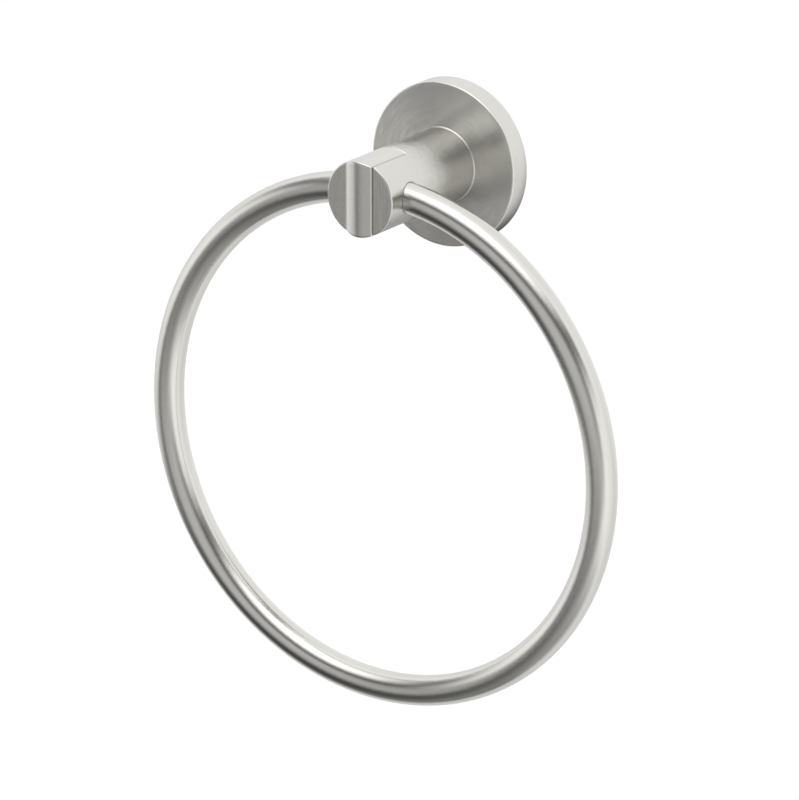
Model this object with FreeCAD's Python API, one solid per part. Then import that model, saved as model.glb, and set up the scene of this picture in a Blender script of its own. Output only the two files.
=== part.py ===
import FreeCAD, Part
import math
import os
from FreeCAD import Vector

# Wall-hung towel ring. Millimetres. The origin is on the wall, on the post's axis:
# +X runs to the right along the wall, +Y into the wall and +Z up.
# Every place along the post is written as a distance "out" from the wall, so y = -out.

# Ring: one round rod bent to a circle, its two ends meeting inside the post
ring_outside = 170.0
rod_diameter = 9.5
ring_lift = 0.42
ring_end_gap = 0.3

# Post: turned bar with a slot across its front and a hole through both cheeks
post_diameter = 23.6
post_length = 44.6
slot_width = 9.6
front_wall = 5.55
front_rim_round = 0.45
slot_edge_break = 0.2
foot_flare = 0.3
spigot_diameter = 9.0
spigot_flats = 7.4
spigot_chamfer = 0.3
spigot_short = 0.2

# Clamp bar: fills the slot, with a rounded nose that stands proud of the cheeks. Its crown is
# right of the middle, so the right edge stands prouder than the left
back_wall = 2.3
nose_radius = 10.8
nose_height = 1.52
crown_offset = 0.62
nose_end_round = 0.6
bar_edge_round = 0.25

# Wall flange: thick disc, recessed at the back to go over the bracket
flange_diameter = 52.0
flange_thickness = 7.8
flange_face = 2.0
flange_rim = 4.7
flange_edge_round = 0.65
flange_back_chamfer = 0.3

# Wall bracket: dished plate that fills the recess, with a rim that widens away from the wall
bracket_face_gap = 0.6
bracket_taper = 1.3
bracket_plate = 2.0
bracket_rim_wall = 1.8
bracket_edge_chamfer = 0.3
wall_slot_width = 5.0
wall_slot_length = 7.0

# Clamp screw: from the back of the flange, between the rod's ends, into the clamp bar
screw_diameter = 5.0
screw_bite = 3.0
screw_tip_chamfer = 0.6
head_diameter = 9.2
head_height = 3.0
head_chamfer = 0.4
head_key = 3.0
head_key_depth = 1.8

# Washers under the clamp screw's head
washer_diameter = 14.0
washer_thickness = 1.0
lock_washer_diameter = 9.0
lock_washer_thickness = 1.2
lock_washer_slit = 0.8
lock_washer_slant = 25.0

# Set screw: up through the flange's rim onto the bracket's taper
set_screw_diameter = 4.0
set_screw_out = 3.2
set_screw_sink = 0.4
set_screw_point = 1.6
set_screw_point_length = 1.2
set_screw_key = 2.0
set_screw_key_depth = 1.8
set_screw_countersink = 0.3

# Clearances, each on one side
ring_clearance = 0.12
bar_clearance = 0.1
spigot_clearance = 0.1
bore_clearance = 0.2
thread_clearance = 0.05
bracket_clearance = 0.2
head_clearance = 0.9
point_clearance = 0.05
drill_clearance = 0.5

# Helpers: how far a cutter runs past a face, how near counts as touching, a drill point's
# depth for each unit of its radius
spare = 1.0
touch = 1e-3
drill_point = 0.6

# Places that follow from the sizes above
rod_radius = rod_diameter / 2
ring_radius = ring_outside / 2 - rod_radius
ring_hole_radius = rod_radius + ring_clearance
post_radius = post_diameter / 2
post_front = flange_thickness + post_length
ring_out = post_front - front_wall - ring_hole_radius
slot_floor = ring_out - ring_hole_radius - back_wall
flange_radius = flange_diameter / 2
recess_depth = flange_thickness - flange_face
recess_radius = flange_radius - flange_rim
bracket_radius = recess_radius - bracket_clearance
bracket_height = recess_depth - bracket_face_gap
bracket_bore_radius = head_diameter / 2 + head_clearance
screw_radius = screw_diameter / 2
bore_radius = screw_radius + bore_clearance
washer_out = recess_depth - washer_thickness
lock_washer_out = washer_out - lock_washer_thickness
screw_tip = ring_out + ring_hole_radius + screw_bite
set_screw_radius = set_screw_diameter / 2


def place(x, out, z):
    return Vector(x, -out, z)


def rod_out(radius, out_start, out_end):
    """A plain round bar on the post's axis, from one distance out to another."""
    return Part.makeCylinder(radius, out_end - out_start, place(0, out_start, 0), Vector(0, -1, 0))


def block(x_half, out_start, out_end, z_low, z_high):
    """A box centred on x = 0."""
    return Part.makeBox(2 * x_half, out_end - out_start, z_high - z_low, place(-x_half, out_end, z_low))


def turned(outline):
    """A solid turned about the post's axis from (radius, out) corners."""
    corners = [place(radius, out, 0) for radius, out in outline]
    wire = Part.makePolygon(corners + corners[:1])
    return Part.Face(wire).revolve(Vector(0, 0, 0), Vector(0, 1, 0), 360)


def hex_bar(across_flats, length, start, direction):
    """A hexagonal bar, for the socket of a screw."""
    corner_radius = across_flats / math.sqrt(3)
    corners = []
    for step in range(6):
        angle = math.radians(60 * step)
        corners.append(Vector(corner_radius * math.cos(angle), corner_radius * math.sin(angle), 0))
    bar = Part.Face(Part.makePolygon(corners + corners[:1])).extrude(Vector(0, 0, length))
    bar.Placement = FreeCAD.Placement(start, FreeCAD.Rotation(Vector(0, 0, 1), direction))
    return bar


def edges_where(shape, test):
    """The edges of a shape on which every sampled point passes the test."""
    return [edge for edge in shape.Edges if all(test(point) for point in edge.discretize(5))]


def edges_in_planes(shape, x_places, floor):
    """The edges that lie in upright planes at those x, but for the ones along the slot's floor."""
    found = []
    for x_place in x_places:
        for edge in edges_where(shape, lambda point: abs(point.x - x_place) < touch):
            if not all(at_out(point, floor) for point in edge.discretize(5)):
                found.append(edge)
    return found


def on_radius(point, radius):
    return abs(math.hypot(point.x, point.z) - radius) < touch


def at_out(point, out):
    return abs(-point.y - out) < touch


def ring_path(radius):
    """A full circle of round bar along the ring's curve."""
    centre = place(0, ring_out, ring_lift - ring_radius)
    return Part.makeTorus(ring_radius, radius, centre, Vector(0, 1, 0))


def make_ring():
    """The rod's section swept round the circle, open where the clamp screw passes."""
    half_gap = screw_radius + ring_end_gap
    end_angle = math.degrees(math.asin(half_gap / ring_radius))
    centre = place(0, ring_out, ring_lift - ring_radius)
    top = place(0, ring_out, ring_lift)
    section = Part.Face(Part.Wire(Part.Circle(top, Vector(1, 0, 0), rod_radius).toShape()))
    section.rotate(centre, Vector(0, 1, 0), end_angle)
    return section.revolve(centre, Vector(0, 1, 0), 360 - 2 * end_angle)


def make_spigot():
    """The post's keyed end, with two flats that stop it turning in the flange."""
    end = recess_depth + spigot_short
    radius = spigot_diameter / 2
    spigot = turned([
        (0, end),
        (radius - spigot_chamfer, end),
        (radius, end + spigot_chamfer),
        (radius, flange_thickness),
        (0, flange_thickness),
    ])
    return spigot.common(block(spigot_diameter, end, flange_thickness, -spigot_flats / 2, spigot_flats / 2))


def make_post():
    """Barrel slotted across the front, with its spigot, cross-holed and bored through."""
    barrel = turned([
        (0, flange_thickness),
        (post_radius + foot_flare, flange_thickness),
        (post_radius, flange_thickness + foot_flare),
        (post_radius, post_front),
        (0, post_front),
    ])

    def front_rim(point):
        return on_radius(point, post_radius) and at_out(point, post_front)

    def floor_rim(point):
        return on_radius(point, post_radius) and at_out(point, slot_floor)

    barrel = barrel.makeFillet(front_rim_round, edges_where(barrel, front_rim))
    slot_half = slot_width / 2
    slot = block(slot_half, slot_floor, post_front + spare, -post_radius - spare, post_radius + spare)
    barrel = barrel.cut(slot)
    rims = edges_in_planes(barrel, (-slot_half, slot_half), slot_floor) + edges_where(barrel, floor_rim)
    barrel = barrel.makeChamfer(slot_edge_break, rims)
    post = barrel.fuse(make_spigot()).removeSplitter()
    post = post.cut(ring_path(ring_hole_radius))
    return post.cut(rod_out(bore_radius, 0, slot_floor + spare))


def make_clamp_bar():
    """The slot's filling with its rounded nose, cross-holed for the ring and threaded."""
    half = slot_width / 2 - bar_clearance
    crown_out = post_front + nose_height
    left_out = crown_out - nose_radius + math.sqrt(nose_radius ** 2 - (half + crown_offset) ** 2)
    right_out = crown_out - nose_radius + math.sqrt(nose_radius ** 2 - (half - crown_offset) ** 2)
    back_left = place(-half, slot_floor, 0)
    back_right = place(half, slot_floor, 0)
    front_left = place(-half, left_out, 0)
    front_right = place(half, right_out, 0)
    nose = Part.Arc(front_left, place(crown_offset, crown_out, 0), front_right).toShape()
    outline = Part.Wire([
        Part.makeLine(back_left, front_left),
        nose,
        Part.makeLine(front_right, back_right),
        Part.makeLine(back_right, back_left),
    ])
    prism = Part.Face(outline).extrude(Vector(0, 0, 2 * post_radius + 2 * spare))
    prism.translate(Vector(0, 0, -post_radius - spare))
    barrel = rod_out(post_radius, slot_floor - spare, crown_out + spare)
    bar = prism.common(barrel)

    def nose_end(point):
        return on_radius(point, post_radius) and -point.y > min(left_out, right_out) - touch

    def floor_rim(point):
        return on_radius(point, post_radius) and at_out(point, slot_floor)

    bar = bar.makeFillet(nose_end_round, edges_where(bar, nose_end))
    rims = edges_in_planes(bar, (-half, half), slot_floor) + edges_where(bar, floor_rim)
    bar = bar.makeFillet(bar_edge_round, rims)
    bar = bar.cut(ring_path(ring_hole_radius))
    thread_radius = screw_radius + thread_clearance
    hole_end = screw_tip + drill_clearance
    hole = turned([
        (0, slot_floor - spare),
        (thread_radius, slot_floor - spare),
        (thread_radius, hole_end),
        (0, hole_end + thread_radius * drill_point),
    ])
    return bar.cut(hole)


def make_wall_flange():
    """The disc with its back recess, keyed centre hole and set screw hole."""
    disc = rod_out(flange_radius, 0, flange_thickness)

    def front_rim(point):
        return on_radius(point, flange_radius) and at_out(point, flange_thickness)

    def back_rim(point):
        return on_radius(point, flange_radius) and at_out(point, 0)

    disc = disc.makeFillet(flange_edge_round, edges_where(disc, front_rim))
    disc = disc.makeChamfer(flange_back_chamfer, edges_where(disc, back_rim))
    disc = disc.cut(rod_out(recess_radius, -spare, recess_depth))
    keyed = rod_out(spigot_diameter / 2 + spigot_clearance, 0, flange_thickness + spare)
    key_half = spigot_flats / 2 + spigot_clearance
    keyed = keyed.common(block(spigot_diameter, 0, flange_thickness + spare, -key_half, key_half))
    disc = disc.cut(keyed)
    hole_radius = set_screw_radius + thread_clearance
    down = Vector(0, 0, -1)
    start = place(0, set_screw_out, -recess_radius + spare)
    hole = Part.makeCylinder(hole_radius, flange_radius - recess_radius + 2 * spare, start, down)
    mouth = place(0, set_screw_out, -flange_radius + set_screw_countersink)
    wide = hole_radius + 2 * set_screw_countersink
    sink = Part.makeCone(hole_radius, wide, 2 * set_screw_countersink, mouth, down)
    return disc.cut(hole).cut(sink)


def bracket_radius_at(out):
    """Outer radius of the bracket's tapered rim at a distance out from the wall."""
    return bracket_radius - bracket_taper * (1 - out / bracket_height)


def wall_slot(z_centre):
    """A slotted hole through the bracket's plate, long way up."""
    radius = wall_slot_width / 2
    reach = (wall_slot_length - wall_slot_width) / 2
    depth = bracket_plate + 2 * spare
    slot = block(radius, -spare, bracket_plate + spare, z_centre - reach, z_centre + reach)
    for end in (z_centre - reach, z_centre + reach):
        round_end = Part.makeCylinder(radius, depth, place(0, -spare, end), Vector(0, -1, 0))
        slot = slot.fuse(round_end)
    return slot.removeSplitter()


def make_wall_bracket():
    """The dished plate: tapered rim, bore clear of the clamp screw's head, two slotted holes."""
    top = bracket_height
    front_radius = bracket_radius_at(top)
    plate_inside = bracket_radius_at(bracket_plate) - bracket_rim_wall
    bracket = turned([
        (bracket_bore_radius, 0),
        (bracket_radius_at(0), 0),
        (bracket_radius_at(top - bracket_edge_chamfer), top - bracket_edge_chamfer),
        (front_radius - bracket_edge_chamfer, top),
        (front_radius - bracket_rim_wall, top),
        (plate_inside, bracket_plate),
        (bracket_bore_radius, bracket_plate),
    ])
    slot_middle = (bracket_bore_radius + plate_inside) / 2
    for side in (-1, 1):
        bracket = bracket.cut(wall_slot(side * slot_middle))
    return bracket


def make_clamp_screw():
    """Low round head with a hexagonal socket, and a plain shank for the thread."""
    head_out = lock_washer_out - head_height
    head_radius = head_diameter / 2
    screw = turned([
        (0, head_out),
        (head_radius - head_chamfer, head_out),
        (head_radius, head_out + head_chamfer),
        (head_radius, lock_washer_out),
        (screw_radius, lock_washer_out),
        (screw_radius, screw_tip - screw_tip_chamfer),
        (screw_radius - screw_tip_chamfer, screw_tip),
        (0, screw_tip),
    ])
    return screw.cut(hex_bar(head_key, head_key_depth, place(0, head_out, 0), Vector(0, -1, 0)))


def make_flat_washer():
    """Plain washer that spans the flange's keyed hole."""
    disc = rod_out(washer_diameter / 2, washer_out, recess_depth)
    return disc.cut(rod_out(bore_radius, washer_out - spare, recess_depth + spare))


def make_lock_washer():
    """Spring washer: a flat ring cut through once at a slant."""
    ring = rod_out(lock_washer_diameter / 2, lock_washer_out, washer_out)
    ring = ring.cut(rod_out(bore_radius, lock_washer_out - spare, washer_out + spare))
    slit = block(lock_washer_slit / 2, lock_washer_out - spare, washer_out + spare, 0, lock_washer_diameter)
    slit.rotate(place(0, (lock_washer_out + washer_out) / 2, 0), Vector(0, 0, 1), lock_washer_slant)
    return ring.cut(slit)


def make_set_screw():
    """Headless screw in the flange's rim, its point a hair off the bracket's taper."""
    point_radius = set_screw_point / 2
    tip = bracket_radius_at(set_screw_out + point_radius) + point_clearance
    foot = flange_radius - set_screw_sink
    down = Vector(0, 0, -1)
    cone_start = place(0, set_screw_out, -tip)
    cone = Part.makeCone(point_radius, set_screw_radius, set_screw_point_length, cone_start, down)
    shank_start = place(0, set_screw_out, -tip - set_screw_point_length)
    shank = Part.makeCylinder(set_screw_radius, foot - tip - set_screw_point_length, shank_start, down)
    socket_start = place(0, set_screw_out, -foot)
    socket = hex_bar(set_screw_key, set_screw_key_depth, socket_start, Vector(0, 0, 1))
    return cone.fuse(shank).removeSplitter().cut(socket)


pieces = {
    "wall_bracket": make_wall_bracket,
    "wall_flange": make_wall_flange,
    "post": make_post,
    "clamp_bar": make_clamp_bar,
    "ring": make_ring,
    "clamp_screw": make_clamp_screw,
    "flat_washer": make_flat_washer,
    "lock_washer": make_lock_washer,
    "set_screw": make_set_screw,
}

os.makedirs("parts", exist_ok=True)
for name, make in pieces.items():
    shape = make()
    shape.exportStep("parts/" + name + ".step")
    print(name, "solids", len(shape.Solids), "valid", shape.isValid(), "volume", round(shape.Volume, 1))
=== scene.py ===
import bpy
import math
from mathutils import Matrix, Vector


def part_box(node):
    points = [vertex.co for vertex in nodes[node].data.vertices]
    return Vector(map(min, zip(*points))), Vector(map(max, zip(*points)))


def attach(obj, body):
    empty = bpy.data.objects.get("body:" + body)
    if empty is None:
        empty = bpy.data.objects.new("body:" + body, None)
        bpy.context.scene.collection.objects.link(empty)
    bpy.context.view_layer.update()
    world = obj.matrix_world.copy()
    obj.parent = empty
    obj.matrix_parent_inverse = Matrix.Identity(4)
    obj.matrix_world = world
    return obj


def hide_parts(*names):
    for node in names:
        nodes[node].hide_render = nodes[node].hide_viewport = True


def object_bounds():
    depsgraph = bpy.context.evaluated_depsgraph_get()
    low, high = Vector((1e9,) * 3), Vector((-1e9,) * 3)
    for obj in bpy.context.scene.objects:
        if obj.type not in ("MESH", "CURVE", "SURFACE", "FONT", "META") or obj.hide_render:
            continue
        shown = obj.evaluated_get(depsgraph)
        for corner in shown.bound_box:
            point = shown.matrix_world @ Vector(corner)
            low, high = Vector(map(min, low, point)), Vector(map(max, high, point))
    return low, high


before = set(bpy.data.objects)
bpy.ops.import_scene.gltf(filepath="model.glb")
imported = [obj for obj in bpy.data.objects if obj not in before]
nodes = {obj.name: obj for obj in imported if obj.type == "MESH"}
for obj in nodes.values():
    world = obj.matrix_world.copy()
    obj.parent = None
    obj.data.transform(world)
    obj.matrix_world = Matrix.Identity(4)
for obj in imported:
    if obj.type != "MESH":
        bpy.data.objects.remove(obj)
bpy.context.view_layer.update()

# Wall-hung towel ring in satin nickel. Metres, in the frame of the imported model:
# +X to the right along the wall, +Y into the wall, +Z up, origin on the wall at the post's axis.
# Surfaces and screws are worked out in millimetres.

# The object's own sizes, in millimetres. A front is how far it stands out from the wall, and the
# clamp bar is flush with the post's barrel.
flange_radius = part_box("wall_flange")[1].x * 1000
flange_front = -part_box("wall_flange")[0].y * 1000
barrel_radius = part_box("clamp_bar")[1].z * 1000
barrel_front = -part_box("post")[0].y * 1000

# Camera: the bearing and height angle at which it stands, how far off, and what it looks at
camera_bearing = 34.214
camera_height_angle = 18.904
camera_distance = 1.53207
camera_target = Vector((-0.00067, -0.03009, -0.07004))
camera_lens = 224.21
camera_sensor = 36.0
camera_near, camera_far = 0.1, 50.0

# Studio
floor_drop = 0.45
floor_half = 8.0
floor_colour = 0.94
background_white = 1.0

# Light that the metal sees round it, as angles in degrees. Bearing 0 is straight out from the
# wall and 90 is to the right. Height 90 is straight up. Later lights lie over earlier ones.
surround_light = 1.19

# Round: bearing and height of the middle, radius, width of the soft edge, and then brightness
# Card: left and right bearing, low and high height, soft edge sideways and upright, brightness
studio_lights = {
    "floor_shade": ("round", (5, -58, 43, 30), 0.43),
    "back_shade": ("round", (190, -21, 69, 70), 0.90),
    "room": ("card", (-50, 55, -95, 58, 23, 49), 0.40),
    "overhead_softbox": ("card", (-63, 62, 32, 130, 50, 10), 2.0),
    "upper_band": ("card", (-89, 91, 21, 44, 32, 36), 0.02),
    "low_front": ("card", (-121, -1, -98, -27, 36, 10), 0.27),
    "dark_flag": ("card", (-78, -26, -54, -19, 52, 29), 0.07),
    "mid_glow": ("card", (-31, 29, -16, 20, 27, 25), 0.66),
    "behind_low": ("card", (-260, -94, -110, -8, 42, 59), 0.79),
    "wall_glow": ("round", (170, 25, 42, 30), 1.08),
    "right_window": ("round", (51, -29, 7, 66), 1.5),
}

# Shade that the object throws on the wall, in millimetres. Each patch has its middle, how far from
# there it stays darkest and where it has faded out, and the light left where it is darkest.
shade_size = 400.0
shade_behind_wall = 0.1
shade_clear_of_flange = 0.05
contact_middle = (-2.0, 0.0, -4.0)
contact_dark, contact_faded, contact_light = 24.5, 31.0, 0.2
below_middle = (-2.0, 0.0, -40.0)
below_dark, below_faded, below_light = 15.0, 45.0, 0.55

# Metals, in linear colour
nickel = (0.665, 0.657, 0.622)
zinc = (0.58, 0.59, 0.60)
steel = (0.46, 0.46, 0.46)
black_steel = (0.10, 0.10, 0.105)

# Roughness of the metals, and how far their mottle and their wear change it
satin_roughness = 0.2
foot_roughness = 0.35
bar_roughness = 0.11
ring_roughness = 0.18
zinc_roughness = 0.4
screw_roughness = 0.3
set_screw_roughness = 0.35
mottle_roughening = 0.08
wear_smoothing = 0.05

# Size of the satin grain, in millimetres, and how many clouds of mottle there are to the millimetre
satin_grain = 0.3
pebble_grain = 0.7
steel_grain = 0.25
nickel_mottle = 1.5
steel_mottle = 0.8
zinc_clouds = 0.18
polish_and_highlight_scuffs = 0.35
rub_clouds = 0.25

# How squarely a surface faces out from the wall where brushing for flat faces begins, and is full
flat_start, flat_full = 0.75, 0.95

# Polish along a turned edge, with a painted highlight where it lightens the colour, in millimetres
# in from the side and back from the front: where it begins, and where it is full
polish_and_highlight_side_start, polish_and_highlight_front_start, polish_and_highlight_full = 1.0, 0.9, 0.4

# The post's flared foot, in millimetres out from the flange: where it begins, and where it is full
foot_start, foot_full = 0.8, 0.2

# Rub at the bottom of the ring, in millimetres below the post's axis: where it begins, and full
rub_start, rub_full, rub_strength = 120.0, 165.0, 0.4

# Screws, in millimetres, each modelled upright and then put in its place. Pitch is how far one
# turn of the thread climbs, and depth how deep it is cut. Shank and head are the clamp screw's.
clamp_thread = {"radius": 2.49, "pitch": 0.8, "depth": 0.46, "start": 27.0, "end": 49.85}
clamp_tip_chamfer = 0.6
shank_radius, shank_end = 2.5, 27.85
head_radius, head_start, head_end, head_chamfer = 4.6, 0.6, 3.6, 0.4
head_key, head_key_depth = 3.0, 1.8
set_thread = {"radius": 1.99, "pitch": 0.7, "depth": 0.4}
set_point_radius, set_point_length = 0.8, 1.2
set_key, set_key_depth = 2.0, 1.8
crest_trim = 0.02
cutter_overrun = 1.0
merge_distance = 0.001
height_tolerance = 0.0001
turn_steps = 24
round_sides = 48
smooth_angle = 30


class Value:
    """A number that varies over a surface, as an output socket that Python's operators work on."""

    def __init__(self, graph, socket):
        self.graph = graph
        self.socket = socket

    def __add__(self, other):
        return self.graph.maths("ADD", self, other)

    def __radd__(self, other):
        return self.graph.maths("ADD", other, self)

    def __sub__(self, other):
        return self.graph.maths("SUBTRACT", self, other)

    def __rsub__(self, other):
        return self.graph.maths("SUBTRACT", other, self)

    def __mul__(self, other):
        return self.graph.maths("MULTIPLY", self, other)

    def __rmul__(self, other):
        return self.graph.maths("MULTIPLY", other, self)

    def __truediv__(self, other):
        return self.graph.maths("DIVIDE", self, other)

    def __neg__(self):
        return self.graph.maths("MULTIPLY", self, -1.0)

    def __abs__(self):
        return self.graph.maths("ABSOLUTE", self)


class Graph:
    """The node tree of one material or world, emptied."""

    def __init__(self, owner):
        owner.use_nodes = True
        self.tree = owner.node_tree
        self.tree.nodes.clear()

    def node(self, kind, settings=None, sockets=None):
        """A node of that type. Its settings are set first, then its sockets' values or links."""
        made = self.tree.nodes.new(kind)
        for name, setting in (settings or {}).items():
            setattr(made, name, setting)
        for name, value in (sockets or {}).items():
            if isinstance(value, Value):
                value = value.socket
            if isinstance(value, bpy.types.NodeSocket):
                self.tree.links.new(value, made.inputs[name])
            else:
                made.inputs[name].default_value = value
        return made

    def maths(self, operation, *values):
        """A sum, product or other function of numbers."""
        made = self.node("ShaderNodeMath", {"operation": operation}, dict(enumerate(values)))
        return Value(self, made.outputs[0])

    def vector_maths(self, operation, *values, scale=None):
        """A vector, or for a length or a dot product a number."""
        sockets = dict(enumerate(values))
        if scale is not None:
            sockets["Scale"] = scale
        made = self.node("ShaderNodeVectorMath", {"operation": operation}, sockets)
        if operation in ("DOT_PRODUCT", "LENGTH"):
            return Value(self, made.outputs["Value"])
        return made.outputs["Vector"]

    def split(self, vector):
        """The three parts of a vector."""
        made = self.node("ShaderNodeSeparateXYZ", None, {0: vector})
        return [Value(self, socket) for socket in made.outputs]

    def join(self, x, y, z):
        """The vector of three parts."""
        return self.node("ShaderNodeCombineXYZ", None, {0: x, 1: y, 2: z}).outputs[0]

    def ramp(self, value, start, end, low=0.0, high=1.0):
        """Smoothly from low to high as the value goes from start to end."""
        settings = {"interpolation_type": "SMOOTHSTEP"}
        sockets = {0: value, 1: start, 2: end, 3: low, 4: high}
        return Value(self, self.node("ShaderNodeMapRange", settings, sockets).outputs[0])

    def place(self):
        """The place on the surface, in millimetres."""
        metres = self.node("ShaderNodeTexCoord").outputs["Object"]
        return self.vector_maths("SCALE", metres, scale=1000.0)

    def normal(self):
        """The way that the surface faces."""
        return self.node("ShaderNodeNewGeometry").outputs["Normal"]

    def noise(self, place, fineness, detail=2.0, roughness=0.5):
        """Soft clouds from 0 to 1, about that many to the millimetre."""
        sockets = {"Vector": place, "Scale": fineness, "Detail": detail, "Roughness": roughness}
        return Value(self, self.node("ShaderNodeTexNoise", None, sockets).outputs[0])

    def matt(self, level):
        """A matt grey of that level."""
        shader = self.node("ShaderNodeBsdfDiffuse")
        shader.inputs["Color"].default_value = (level, level, level, 1)
        return shader.outputs[0]

    def surface(self, shader):
        """Gives the material that shader."""
        self.node("ShaderNodeOutputMaterial", None, {"Surface": shader})


def toward(bearing, height):
    """The direction at that bearing and height angle."""
    around, up = math.radians(bearing), math.radians(height)
    return Vector((math.sin(around) * math.cos(up), -math.cos(around) * math.cos(up), math.sin(up)))


def round_cover(graph, direction, around, up, radius, edge):
    """How much of a round light lies in a direction, from 0 to 1."""
    cosine = graph.vector_maths("DOT_PRODUCT", direction, toward(around, up))
    angle = graph.maths("DEGREES", graph.maths("ARCCOSINE", cosine))
    return graph.ramp(angle, radius + edge / 2, radius - edge / 2)


def card_cover(graph, direction, left, right, low, high, side, rise):
    """How much of a four-sided light lies in a direction, from 0 to 1."""
    x, y, z = graph.split(direction)
    height = graph.maths("DEGREES", graph.maths("ARCSINE", z))
    bearing = graph.maths("DEGREES", graph.maths("ARCTAN2", x, -y))
    cover = graph.ramp(bearing, left - side / 2, left + side / 2)
    cover = cover * graph.ramp(bearing, right + side / 2, right - side / 2)
    cover = cover * graph.ramp(height, low - rise / 2, low + rise / 2)
    return cover * graph.ramp(height, high + rise / 2, high - rise / 2)


def make_world():
    """White behind the object; in the metal, a white surround with grey and dark cards in front."""
    world = bpy.data.worlds.new("studio")
    graph = Graph(world)
    direction = graph.node("ShaderNodeTexCoord").outputs["Generated"]
    covers = {"round": round_cover, "card": card_cover}
    light = surround_light
    for kind, angles, level in studio_lights.values():
        cover = covers[kind](graph, direction, *angles)
        light = light * (1 - cover) + cover * level
    path = graph.node("ShaderNodeLightPath")
    from_camera = Value(graph, path.outputs["Is Camera Ray"])
    strength = from_camera * background_white + (1 - from_camera) * light
    background = graph.node("ShaderNodeBackground", None, {"Strength": strength})
    background.inputs["Color"].default_value = (1, 1, 1, 1)
    graph.node("ShaderNodeOutputWorld", None, {"Surface": background.outputs[0]})
    bpy.context.scene.world = world


def make_floor():
    """A plain pale floor well under the ring, out of the metal's reflections."""
    bpy.ops.object.select_all(action="DESELECT")
    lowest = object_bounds()[0].z
    bpy.ops.mesh.primitive_plane_add(size=2 * floor_half, location=(0, 0, lowest - floor_drop))
    floor = bpy.context.active_object
    floor.name = "floor"
    floor.visible_glossy = False
    material = bpy.data.materials.new("floor_paint")
    graph = Graph(material)
    graph.surface(graph.matt(floor_colour))
    floor.data.materials.append(material)


def shade_patch(graph, place, middle, dark, faded, light):
    """The light left on the wall by one patch of shade, which is 1 outside it."""
    distance = graph.vector_maths("LENGTH", graph.vector_maths("SUBTRACT", place, middle))
    return graph.ramp(distance, dark, faded, low=light, high=1.0)


def make_wall_shade():
    """The shade that the object throws on the wall, which only the metal in front of it mirrors."""
    bpy.ops.object.select_all(action="DESELECT")
    bpy.ops.mesh.primitive_plane_add(
        size=shade_size / 1000,
        location=(0, shade_behind_wall / 1000, 0),
        rotation=(math.radians(90), 0, 0),
    )
    shade = bpy.context.active_object
    shade.name = "wall_shade"
    bpy.ops.object.transform_apply(location=True, rotation=True, scale=True)
    shade.visible_camera = False
    shade.visible_diffuse = False
    shade.visible_shadow = False
    shade.visible_transmission = False
    shade.visible_volume_scatter = False
    material = bpy.data.materials.new("wall_shade_veil")
    graph = Graph(material)
    place = graph.place()
    light = shade_patch(graph, place, contact_middle, contact_dark, contact_faded, contact_light)
    light = light * shade_patch(graph, place, below_middle, below_dark, below_faded, below_light)
    reach = flange_radius + shade_clear_of_flange
    outside = graph.maths("GREATER_THAN", graph.vector_maths("LENGTH", place), reach)
    behind = Value(graph, graph.node("ShaderNodeNewGeometry").outputs["Backfacing"])
    veil = graph.node("ShaderNodeMixShader", None, {
        0: (1 - light) * outside * (1 - behind),
        1: graph.node("ShaderNodeBsdfTransparent").outputs[0],
        2: graph.matt(0),
    })
    graph.surface(veil.outputs[0])
    shade.data.materials.append(material)


def make_camera():
    """A long lens at the place that gives the photograph's view."""
    back = toward(camera_bearing, camera_height_angle)
    data = bpy.data.cameras.new("camera")
    data.lens = camera_lens
    data.sensor_width = camera_sensor
    data.clip_start = camera_near
    data.clip_end = camera_far
    camera = bpy.data.objects.new("camera", data)
    bpy.context.collection.objects.link(camera)
    camera.location = camera_target + back * camera_distance
    camera.rotation_mode = "QUATERNION"
    camera.rotation_quaternion = (-back).to_track_quat("-Z", "Y")
    bpy.context.scene.camera = camera


def polar(graph, place):
    """Distance from the post's axis, and the direction away from it."""
    away = graph.vector_maths("MULTIPLY", place, (1, 0, 1))
    return graph.vector_maths("LENGTH", away), graph.vector_maths("NORMALIZE", away)


def out_from_wall(graph, place):
    """Distance out from the wall."""
    return -graph.split(place)[1]


def below_axis(graph, place):
    """Distance below the post's axis."""
    return -graph.split(place)[2]


def facing(graph):
    """1 on flat faces square to the post's axis and 0 on turned sides."""
    return graph.ramp(abs(graph.split(graph.normal())[1]), flat_start, flat_full)


def round_strokes(graph, place, fineness, length):
    """Brushing in circles round the post's axis: the way across the strokes, and their height."""
    distance, away = polar(graph, place)
    x, y, z = graph.split(graph.vector_maths("SCALE", away, scale=distance / length))
    return away, graph.noise(graph.join(distance * fineness, x, z), 1.0)


def upright_strokes(graph, place, fineness, length):
    """Brushing up and down: the way across the strokes, and their height."""
    x, y, z = graph.split(place)
    across = graph.vector_maths("CROSS_PRODUCT", graph.normal(), (0, 0, 1))
    return across, graph.noise(graph.join(x * fineness, y, z / length), 1.0)


def turned_strokes(graph, place, fineness, length):
    """Marks that run round the post: the way across them, and their height."""
    x, y, z = graph.split(place)
    return (0, 1, 0), graph.noise(graph.join(x / length, y * fineness, z / length), 1.0)


def tipped(graph, normal, strokes, amount):
    """The normal, leaning to and fro across the strokes."""
    across, height = strokes
    lean = graph.vector_maths("SCALE", across, scale=(height - 0.5) * amount)
    return graph.vector_maths("ADD", normal, lean)


def grained(graph, normal, place, size, amount):
    """The normal, unsettled by a fine satin grain of that size in millimetres."""
    sockets = {"Vector": place, "Scale": 1 / size, "Detail": 2.0}
    grain = graph.node("ShaderNodeTexNoise", None, sockets).outputs["Color"]
    lean = graph.vector_maths("SUBTRACT", grain, (0.5, 0.5, 0.5))
    return graph.vector_maths("ADD", normal, graph.vector_maths("SCALE", lean, scale=amount))


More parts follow.
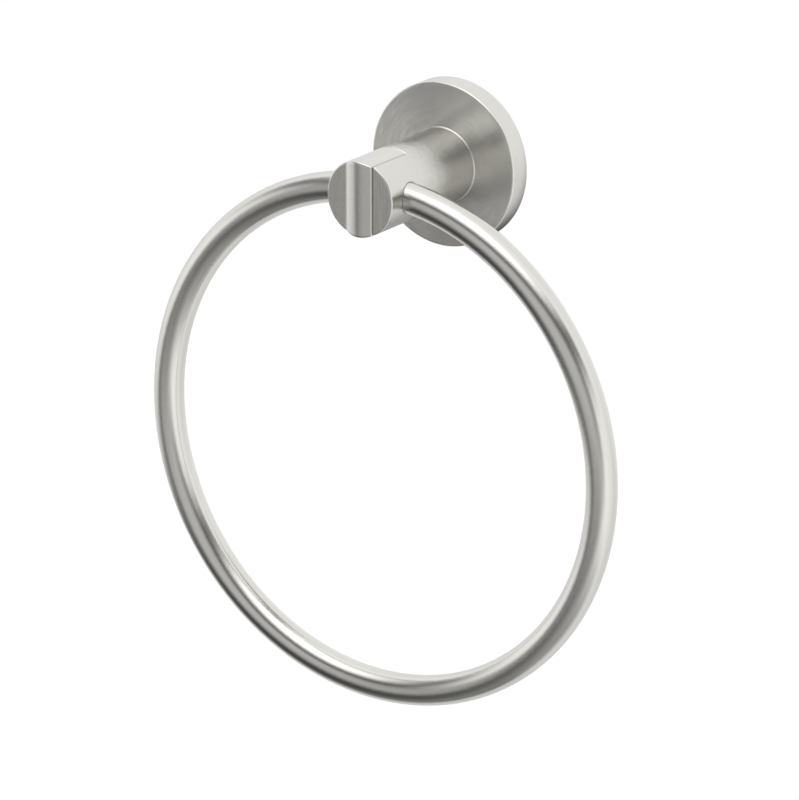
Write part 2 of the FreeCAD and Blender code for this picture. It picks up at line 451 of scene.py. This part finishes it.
def edge_polish_and_highlight(graph, place, radius, front):
    """1 on the turned edge at that radius and distance out from the wall, and 0 away from it; its
    lighter colour there is a painted highlight.
    """
    distance = polar(graph, place)[0]
    out = out_from_wall(graph, place)
    near = graph.ramp(distance, radius - polish_and_highlight_side_start, radius - polish_and_highlight_full)
    near = near * graph.ramp(out, front - polish_and_highlight_front_start, front - polish_and_highlight_full)
    return near * graph.ramp(graph.noise(place, polish_and_highlight_scuffs), 0.35, 0.65, low=0.4, high=1.0)


def new_metal(name):
    """An empty material, its nodes, and the place on its surface."""
    material = bpy.data.materials.new(name)
    graph = Graph(material)
    return material, graph, graph.place()


def finish(graph, colour, roughness, normal, mottle, wear_and_highlight=0.0, change=0.03):
    """The metal's shader: lighter and rougher where the mottle is high, and polished by wear, whose
    lighter colour on edges is a painted highlight.
    """
    darker = [part * (1 - change) for part in colour]
    lighter = [min(1, part * (1 + change)) for part in colour]
    # On a colour mix, sockets 6 and 7 are the two colours and output 2 is the result
    shade = graph.node("ShaderNodeMix", {"data_type": "RGBA"}, {
        "Factor": mottle + wear_and_highlight,
        6: (*darker, 1),
        7: (*lighter, 1),
    })
    shader = graph.node("ShaderNodeBsdfPrincipled", None, {
        "Base Color": shade.outputs[2],
        "Roughness": roughness + (mottle - 0.5) * mottle_roughening - wear_and_highlight * wear_smoothing,
        "Normal": graph.vector_maths("NORMALIZE", normal),
    })
    shader.inputs["Metallic"].default_value = 1
    graph.surface(shader.outputs[0])


def flange_nickel():
    """Brushed in circles on the face, satin on the rim."""
    material, graph, place = new_metal("flange_nickel")
    strokes = round_strokes(graph, place, fineness=150.0, length=10.0)
    normal = tipped(graph, graph.normal(), strokes, amount=0.25 + facing(graph) * 1.7)
    normal = grained(graph, normal, place, size=satin_grain, amount=0.25)
    # Polish on the flange's front edge, which also paints a highlight along it
    polish_and_highlight = edge_polish_and_highlight(graph, place, flange_radius, flange_front)
    finish(graph, nickel, satin_roughness, normal, graph.noise(place, nickel_mottle), polish_and_highlight)
    return material


def post_nickel():
    """Turned barrel, rougher at its foot, and cheeks brushed up and down."""
    material, graph, place = new_metal("post_nickel")
    flat = facing(graph)
    turning = turned_strokes(graph, place, fineness=120.0, length=4.0)
    normal = tipped(graph, graph.normal(), turning, amount=(1 - flat) * 0.5)
    brushing = upright_strokes(graph, place, fineness=12.0, length=20.0)
    normal = tipped(graph, normal, brushing, amount=flat * 0.8)
    normal = grained(graph, normal, place, size=satin_grain, amount=0.25 - flat * 0.15)
    out = out_from_wall(graph, place)
    start, full = flange_front + foot_start, flange_front + foot_full
    roughness = graph.ramp(out, start, full, low=satin_roughness, high=foot_roughness)
    # Polish on the barrel's front edge, which also paints a highlight along it
    polish_and_highlight = edge_polish_and_highlight(graph, place, barrel_radius, barrel_front)
    finish(graph, nickel, roughness, normal, graph.noise(place, nickel_mottle), polish_and_highlight)
    return material


def bar_nickel():
    """Brushed up and down over the rounded nose."""
    material, graph, place = new_metal("bar_nickel")
    brushing = upright_strokes(graph, place, fineness=12.0, length=20.0)
    normal = tipped(graph, graph.normal(), brushing, amount=facing(graph) * 0.2)
    normal = grained(graph, normal, place, size=satin_grain, amount=0.1)
    finish(graph, nickel, bar_roughness, normal, graph.noise(place, nickel_mottle))
    return material


def ring_nickel():
    """Satin rod, with a faint rub where towels hang."""
    material, graph, place = new_metal("ring_nickel")
    low = graph.ramp(below_axis(graph, place), rub_start, rub_full)
    rub = low * graph.noise(place, rub_clouds) * rub_strength
    normal = grained(graph, graph.normal(), place, size=satin_grain, amount=0.12)
    finish(graph, nickel, ring_roughness, normal, graph.noise(place, nickel_mottle), rub)
    return material


def bracket_zinc():
    """Die-cast zinc: a pebbled skin, clouded where the metal cooled unevenly."""
    material, graph, place = new_metal("bracket_zinc")
    normal = grained(graph, graph.normal(), place, size=pebble_grain, amount=0.35)
    clouds = graph.noise(place, zinc_clouds, detail=4.0, roughness=0.65)
    finish(graph, zinc, zinc_roughness, normal, graph.ramp(clouds, 0.35, 0.65), change=0.12)
    return material


def turned_steel(name, colour, roughness):
    """Plated fastener, with the rings of its turning round the post's axis."""
    material, graph, place = new_metal(name)
    turning = round_strokes(graph, place, fineness=6.0, length=12.0)
    normal = tipped(graph, graph.normal(), turning, amount=facing(graph) * 0.3)
    normal = grained(graph, normal, place, size=steel_grain, amount=0.15)
    finish(graph, colour, roughness, normal, graph.noise(place, steel_mottle), change=0.08)
    return material


def only(piece):
    """Makes one piece the selected and active one."""
    bpy.ops.object.select_all(action="DESELECT")
    piece.select_set(True)
    bpy.context.view_layer.objects.active = piece


def round_bar(radius, start, end, sides=round_sides):
    """An upright bar, round or with that many sides."""
    bpy.ops.object.select_all(action="DESELECT")
    bpy.ops.mesh.primitive_cylinder_add(
        vertices=sides, radius=radius, depth=end - start, location=(0, 0, (start + end) / 2)
    )
    bpy.ops.object.transform_apply(location=True, rotation=True, scale=True)
    return bpy.context.active_object


def key_bar(across, start, end):
    """A six-sided bar that cuts the socket for a hexagonal key of that width across its flats."""
    return round_bar(across / math.sqrt(3), start, end, sides=6)


def pick(piece, kind, height):
    """Goes into edit mode with the faces or edges that lie flat at that height selected."""
    only(piece)
    bpy.ops.object.mode_set(mode="EDIT")
    bpy.ops.mesh.select_mode(type=kind)
    bpy.ops.mesh.select_all(action="DESELECT")
    bpy.ops.object.mode_set(mode="OBJECT")
    mesh = piece.data
    for part in (mesh.polygons if kind == "FACE" else mesh.edges):
        corners = [mesh.vertices[index].co for index in part.vertices]
        if all(abs(corner.z - height) < height_tolerance for corner in corners):
            part.select = True
    bpy.ops.object.mode_set(mode="EDIT")


def joined(piece, operation, other):
    """The piece cut by, joined to or kept within another, which is used up."""
    only(piece)
    modifier = piece.modifiers.new("join", "BOOLEAN")
    modifier.operation = operation
    modifier.object = other
    modifier.solver = "EXACT"
    bpy.ops.object.modifier_apply(modifier="join")
    bpy.data.objects.remove(other)
    return piece


def threaded_bar(radius, pitch, depth, start, end):
    """A bar with a thread cut in it: one turn's profile, wound up the bar and cut off square."""
    bpy.ops.object.select_all(action="DESELECT")
    bpy.ops.mesh.primitive_plane_add(size=1)
    bar = bpy.context.active_object
    bpy.ops.object.mode_set(mode="EDIT")
    bpy.ops.mesh.select_mode(type="VERT")
    bpy.ops.mesh.select_all(action="SELECT")
    bpy.ops.mesh.merge(type="CENTER")
    bpy.ops.transform.translate(value=(radius - depth, 0, start - pitch * 1.5))
    # Out along a flank, up the crest, in along the other flank and up the root
    flank, flat = pitch * 0.375, pitch * 0.125
    for step in ((depth, 0, flank), (0, 0, flat), (-depth, 0, flank), (0, 0, flat)):
        bpy.ops.mesh.extrude_vertices_move(TRANSFORM_OT_translate={"value": step})
    bpy.ops.object.mode_set(mode="OBJECT")
    winding = bar.modifiers.new("winding", "SCREW")
    winding.axis = "Z"
    winding.angle = math.radians(360)
    winding.screw_offset = pitch
    winding.iterations = math.ceil((end - start) / pitch) + 3
    winding.steps = turn_steps
    winding.render_steps = turn_steps
    bpy.ops.object.modifier_apply(modifier="winding")
    bpy.ops.object.mode_set(mode="EDIT")
    bpy.ops.mesh.select_all(action="SELECT")
    bpy.ops.mesh.remove_doubles(threshold=merge_distance)
    bpy.ops.mesh.normals_make_consistent(inside=False)
    for height, cut_off in ((start, {"clear_inner": True}), (end, {"clear_outer": True})):
        bpy.ops.mesh.select_all(action="SELECT")
        bpy.ops.mesh.bisect(plane_co=(0, 0, height), plane_no=(0, 0, 1), use_fill=True, **cut_off)
    bpy.ops.mesh.select_all(action="SELECT")
    bpy.ops.mesh.normals_make_consistent(inside=False)
    bpy.ops.object.mode_set(mode="OBJECT")
    return bar


def put_in_place(piece, name, material, location, turn):
    """Scales a screw from millimetres, sets it in its place and gives it its metal."""
    only(piece)
    piece.name = name
    piece.data.materials.clear()
    piece.data.materials.append(material)
    piece.scale = (0.001, 0.001, 0.001)
    piece.rotation_euler = (turn, 0, 0)
    piece.location = location
    bpy.ops.object.transform_apply(location=True, rotation=True, scale=True)
    bpy.ops.object.mode_set(mode="EDIT")
    bpy.ops.mesh.select_all(action="SELECT")
    bpy.ops.mesh.normals_make_consistent(inside=False)
    bpy.ops.object.mode_set(mode="OBJECT")
    bpy.ops.object.shade_smooth_by_angle(angle=math.radians(smooth_angle))
    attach(piece, "root")


def make_clamp_screw(material):
    """Low round head with a hexagonal socket, plain shank, and a thread over the front half."""
    screw = round_bar(head_radius, head_start, head_end)
    pick(screw, "FACE", head_end)
    bpy.ops.mesh.inset(thickness=head_radius - shank_radius)
    bpy.ops.mesh.extrude_region_move(TRANSFORM_OT_translate={"value": (0, 0, shank_end - head_end)})
    bpy.ops.object.mode_set(mode="OBJECT")
    pick(screw, "EDGE", head_start)
    bpy.ops.mesh.bevel(offset=head_chamfer, segments=2)
    bpy.ops.object.mode_set(mode="OBJECT")
    joined(screw, "DIFFERENCE",
           key_bar(head_key, head_start - cutter_overrun, head_start + head_key_depth))
    start, end = clamp_thread["start"], clamp_thread["end"]
    envelope = round_bar(clamp_thread["radius"] - crest_trim, start - cutter_overrun, end)
    pick(envelope, "EDGE", end)
    bpy.ops.mesh.bevel(offset=clamp_tip_chamfer, segments=1)
    bpy.ops.object.mode_set(mode="OBJECT")
    bar = joined(threaded_bar(**clamp_thread), "INTERSECT", envelope)
    joined(screw, "UNION", bar)
    put_in_place(screw, "threaded_clamp_screw", material, (0, 0, 0), math.radians(90))
    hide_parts("clamp_screw")


def make_set_screw(material):
    """Headless screw, threaded all along, with a cone point and a hexagonal socket."""
    low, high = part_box("set_screw")
    length = (high.z - low.z) * 1000
    shank = length - set_point_length
    trimmed = set_thread["radius"] - crest_trim
    envelope = round_bar(trimmed, 0, shank)
    pick(envelope, "FACE", shank)
    bpy.ops.mesh.extrude_region_move(TRANSFORM_OT_translate={"value": (0, 0, set_point_length)})
    shrink = set_point_radius / trimmed
    bpy.ops.transform.resize(value=(shrink, shrink, 1), center_override=(0, 0, length))
    bpy.ops.object.mode_set(mode="OBJECT")
    screw = joined(threaded_bar(**set_thread, start=0, end=length), "INTERSECT", envelope)
    joined(screw, "DIFFERENCE", key_bar(set_key, -cutter_overrun, set_key_depth))
    middle = (0, (low.y + high.y) / 2, low.z)
    put_in_place(screw, "threaded_set_screw", material, middle, 0)
    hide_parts("set_screw")


def paint(node, material):
    """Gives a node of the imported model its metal."""
    for slot in node.material_slots:
        slot.material = material


bpy.context.scene.view_settings.view_transform = "Standard"
make_world()
make_floor()
make_wall_shade()
make_camera()

screw_steel = turned_steel("screw_steel", steel, screw_roughness)
paint(nodes["ring"], ring_nickel())
paint(nodes["post"], post_nickel())
paint(nodes["clamp_bar"], bar_nickel())
paint(nodes["wall_flange"], flange_nickel())
paint(nodes["wall_bracket"], bracket_zinc())
paint(nodes["flat_washer"], screw_steel)
paint(nodes["lock_washer"], screw_steel)
make_clamp_screw(screw_steel)
make_set_screw(turned_steel("set_screw_steel", black_steel, set_screw_roughness))
